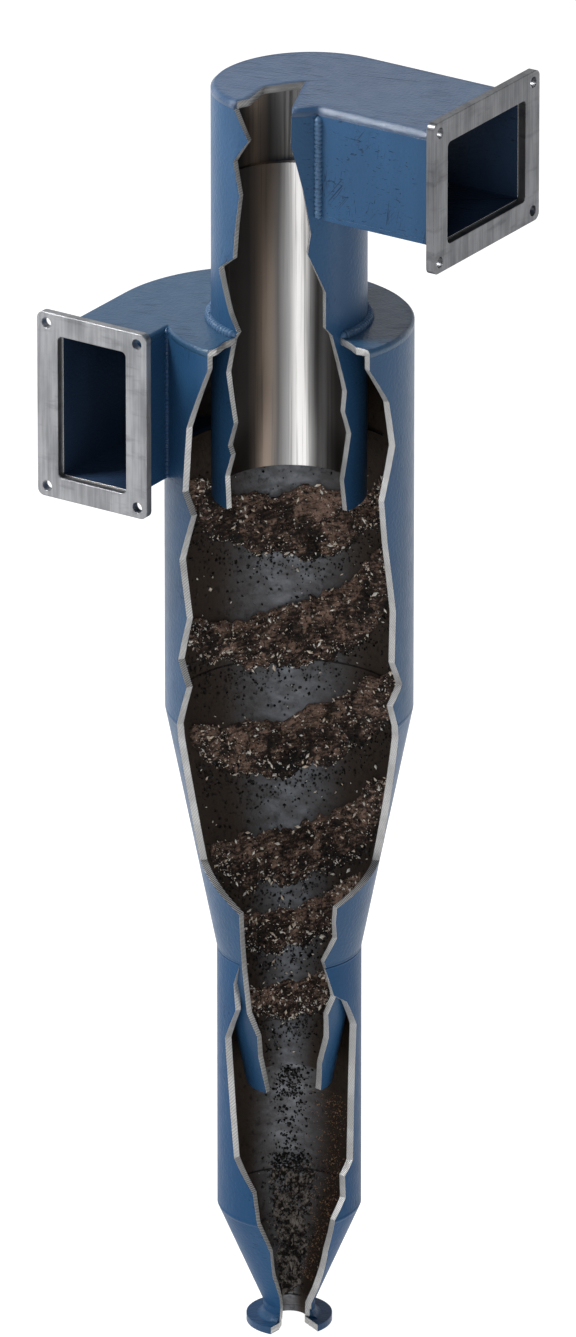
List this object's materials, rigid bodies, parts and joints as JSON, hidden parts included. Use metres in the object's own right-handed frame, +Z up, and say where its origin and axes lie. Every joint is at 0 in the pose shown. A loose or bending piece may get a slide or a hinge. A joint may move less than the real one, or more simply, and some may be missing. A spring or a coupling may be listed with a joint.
{
  "type": "cyclone separator with cutaway front",
  "caption": "Upright dust cyclone with scroll inlet, scroll outlet over a central tube, tapering cone and conical-bottomed dust hopper, cut open down the front to show the inside.",
  "frame": {"origin": "centre of the foot flange's underside, on the axis of the separator", "axes": "+Z up along the axis; the inlet duct faces -Y and the outlet duct faces +X; the cutaway faces 57 degrees from +X towards -Y"},
  "size_m": [0.655, 0.4586, 2.186],
  "materials": {
    "shell_paint": "satin blue paint outside, dusty dark steel inside, bare steel on the broken edge",
    "plate_paint": "satin blue paint",
    "duct_paint": "satin blue paint",
    "weld_paint": "blue paint over a rippled weld bead",
    "tube_steel": "satin blue paint outside, bare brushed steel inside",
    "dust_cake": "matt brown caked dust with cream and black grit",
    "flange_steel": "brushed bare steel"
  },
  "bodies": {
    "root": {"body_roof": "plate_paint", "body_shell_back": "shell_paint", "body_shell_left": "shell_paint", "body_shell_right": "shell_paint", "body_shell_strip": "shell_paint", "caked_dust": "dust_cake", "dust_hopper_back": "shell_paint", "dust_hopper_left": "shell_paint", "dust_hopper_right": "shell_paint", "foot_flange": "plate_paint", "inlet_far_wall": "duct_paint", "inlet_flange": "flange_steel", "inlet_floor": "duct_paint", "inlet_near_wall": "duct_paint", "inlet_scroll_wall": "duct_paint", "main_cone_back": "shell_paint", "main_cone_left": "shell_paint", "main_cone_right": "shell_paint", "outlet_far_wall": "duct_paint", "outlet_flange": "flange_steel", "outlet_floor": "duct_paint", "outlet_near_wall": "duct_paint", "outlet_roof": "plate_paint", "outlet_scroll_wall": "duct_paint", "vortex_tube_back": "tube_steel", "vortex_tube_left": "tube_steel", "vortex_tube_right": "tube_steel", "vortex_tube_strip": "tube_steel", "weld_beads": "weld_paint"}
  },
  "joints": []
}
